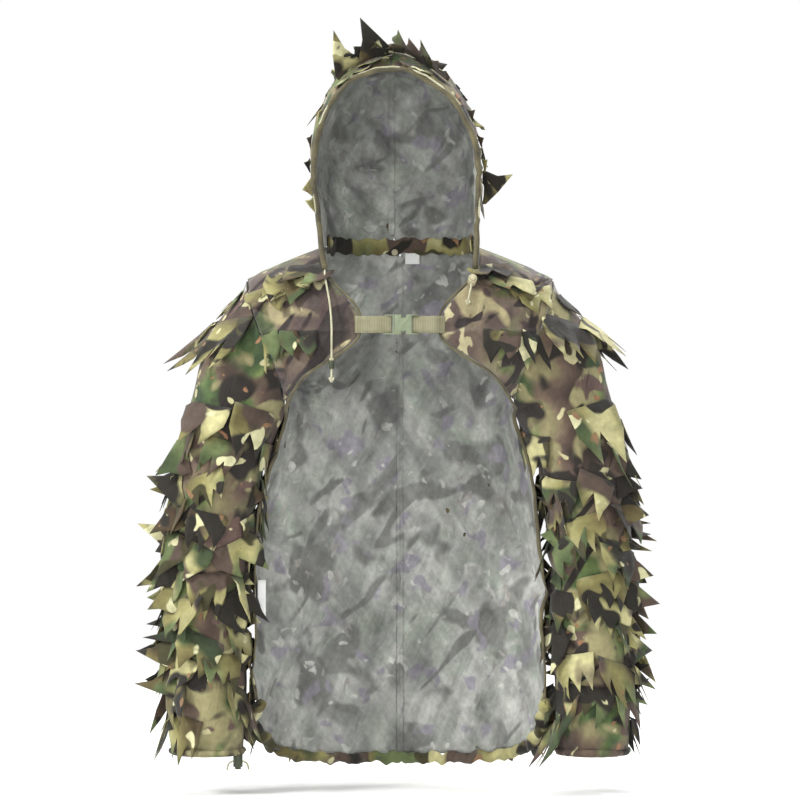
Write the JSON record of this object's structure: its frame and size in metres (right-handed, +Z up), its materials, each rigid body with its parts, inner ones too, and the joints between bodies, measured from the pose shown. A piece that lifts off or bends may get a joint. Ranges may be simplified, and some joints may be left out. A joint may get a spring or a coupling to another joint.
{
  "type": "ghillie suit jacket",
  "caption": "Hooded camouflage jacket with cut leaf strips, open front, chest strap and drawcord hood.",
  "frame": {"origin": "base of the wearer's neck, on the middle plane, where the wearer's shoulders carry the jacket", "axes": "+Z up along the wearer's back, -Y the way the wearer faces, +X to the wearer's left"},
  "size_m": [0.7778, 0.2854, 1.1138],
  "materials": {
    "printed_mesh": "matt woven mesh, woodland print",
    "yoke_mesh": "sheer matt mesh, woodland print",
    "lining_tape": "matt grey-green felled tape",
    "edge_tape": "olive-brown bias tape",
    "leaf_cloth": "laser-cut woven polyester leaves, woodland print",
    "label_cloth": "blank white woven label",
    "strap_webbing": "ribbed polyester webbing",
    "buckle_plastic": "moulded acetal, satin",
    "lock_plastic": "moulded acetal, satin",
    "bead_plastic": "moulded acetal, satin",
    "cord": "braided polyester cord",
    "elastic": "covered elastic cord",
    "spring_steel": "drawn spring wire"
  },
  "bodies": {
    "jacket": {"back_panel_right": "printed_mesh", "back_panel_left": "printed_mesh", "centre_back_seam": "lining_tape", "front_yoke_right": "yoke_mesh", "front_yoke_left": "yoke_mesh", "edge_binding_right": "edge_tape", "edge_binding_left": "edge_tape", "hem_casing": "printed_mesh", "hem_elastic": "elastic", "collar_band": "printed_mesh", "neck_stud": "bead_plastic", "size_label": "label_cloth", "care_label": "label_cloth", "webbing_left": "strap_webbing", "buckle_female": "buckle_plastic", "drawcord_tail_right": "cord", "drawcord_tail_left": "cord", "cord_end_right": "cord", "cord_end_left": "cord", "back_leaves_1": "leaf_cloth", "back_leaves_2": "leaf_cloth", "back_leaves_3": "leaf_cloth", "back_leaves_4": "leaf_cloth", "hem_leaves": "leaf_cloth", "yoke_leaves_right": "leaf_cloth", "yoke_leaves_left": "leaf_cloth"},
    "hood": {"hood_shell_right": "printed_mesh", "hood_shell_left": "printed_mesh", "hood_seam": "lining_tape", "rim_casing": "edge_tape", "hood_drawcord": "cord", "hood_leaves_1": "leaf_cloth", "hood_leaves_2": "leaf_cloth", "hood_leaves_3": "leaf_cloth"},
    "sleeve_right_arm": {"sleeve_right": "printed_mesh", "cuff_casing_right": "edge_tape", "cuff_elastic_right": "elastic", "cuff_lock": "lock_plastic", "cuff_lock_spring": "spring_steel", "cuff_cord": "cord", "sleeve_leaves_right_1": "leaf_cloth", "sleeve_leaves_right_2": "leaf_cloth", "sleeve_leaves_right_3": "leaf_cloth", "sleeve_leaves_right_4": "leaf_cloth"},
    "sleeve_left_arm": {"sleeve_left": "printed_mesh", "cuff_casing_left": "edge_tape", "cuff_elastic_left": "elastic", "sleeve_leaves_left_1": "leaf_cloth", "sleeve_leaves_left_2": "leaf_cloth", "sleeve_leaves_left_3": "leaf_cloth", "sleeve_leaves_left_4": "leaf_cloth"},
    "strap_right": {"webbing_right": "strap_webbing", "buckle_male": "buckle_plastic"},
    "barrel_right": {"cord_barrel_right": "lock_plastic", "cord_bead_right": "bead_plastic"},
    "lock_left": {"cord_lock_left": "bead_plastic", "lock_spring_left": "spring_steel"},
    "lock_left_button": {"lock_button_left": "bead_plastic"},
    "cuff_button": {"cuff_lock_button": "lock_plastic"}
  },
  "joints": [
    {"name": "hood_fold", "type": "hinge", "parent": "jacket", "child": "hood", "pos_m": [0, 0.099, 0.0125], "axis": [-1, 0, 0], "range_deg": [0, 40]},
    {"name": "sleeve_swing_right", "type": "hinge", "parent": "jacket", "child": "sleeve_right_arm", "pos_m": [-0.228, 0.011, -0.038], "axis": [0, 1, 0], "range_deg": [0, 35]},
    {"name": "sleeve_swing_left", "type": "hinge", "parent": "jacket", "child": "sleeve_left_arm", "pos_m": [0.228, 0.011, -0.038], "axis": [0, -1, 0], "range_deg": [0, 35]},
    {"name": "buckle_release", "type": "slide", "parent": "jacket", "child": "strap_right", "axis": [-1, 0, 0], "range_m": [0, 0.026]},
    {"name": "barrel_slide_right", "type": "slide", "parent": "jacket", "child": "barrel_right", "axis": [0, 0, 1], "range_m": [-0.011, 0.038]},
    {"name": "lock_slide_left", "type": "slide", "parent": "jacket", "child": "lock_left", "axis": [-0.1905, -0.381, -0.9048], "range_m": [0, 0.024]},
    {"name": "lock_press_left", "type": "slide", "parent": "lock_left", "child": "lock_left_button", "axis": [-0.0785, 0.9246, -0.3728], "range_m": [0, 0.0025], "stiffness_N_per_m": 600, "springref_m": -0.0005},
    {"name": "cuff_lock_press", "type": "slide", "parent": "sleeve_right_arm", "child": "cuff_button", "axis": [0, 0, 1], "range_m": [0, 0.0025], "stiffness_N_per_m": 600, "springref_m": -0.0005}
  ]
}
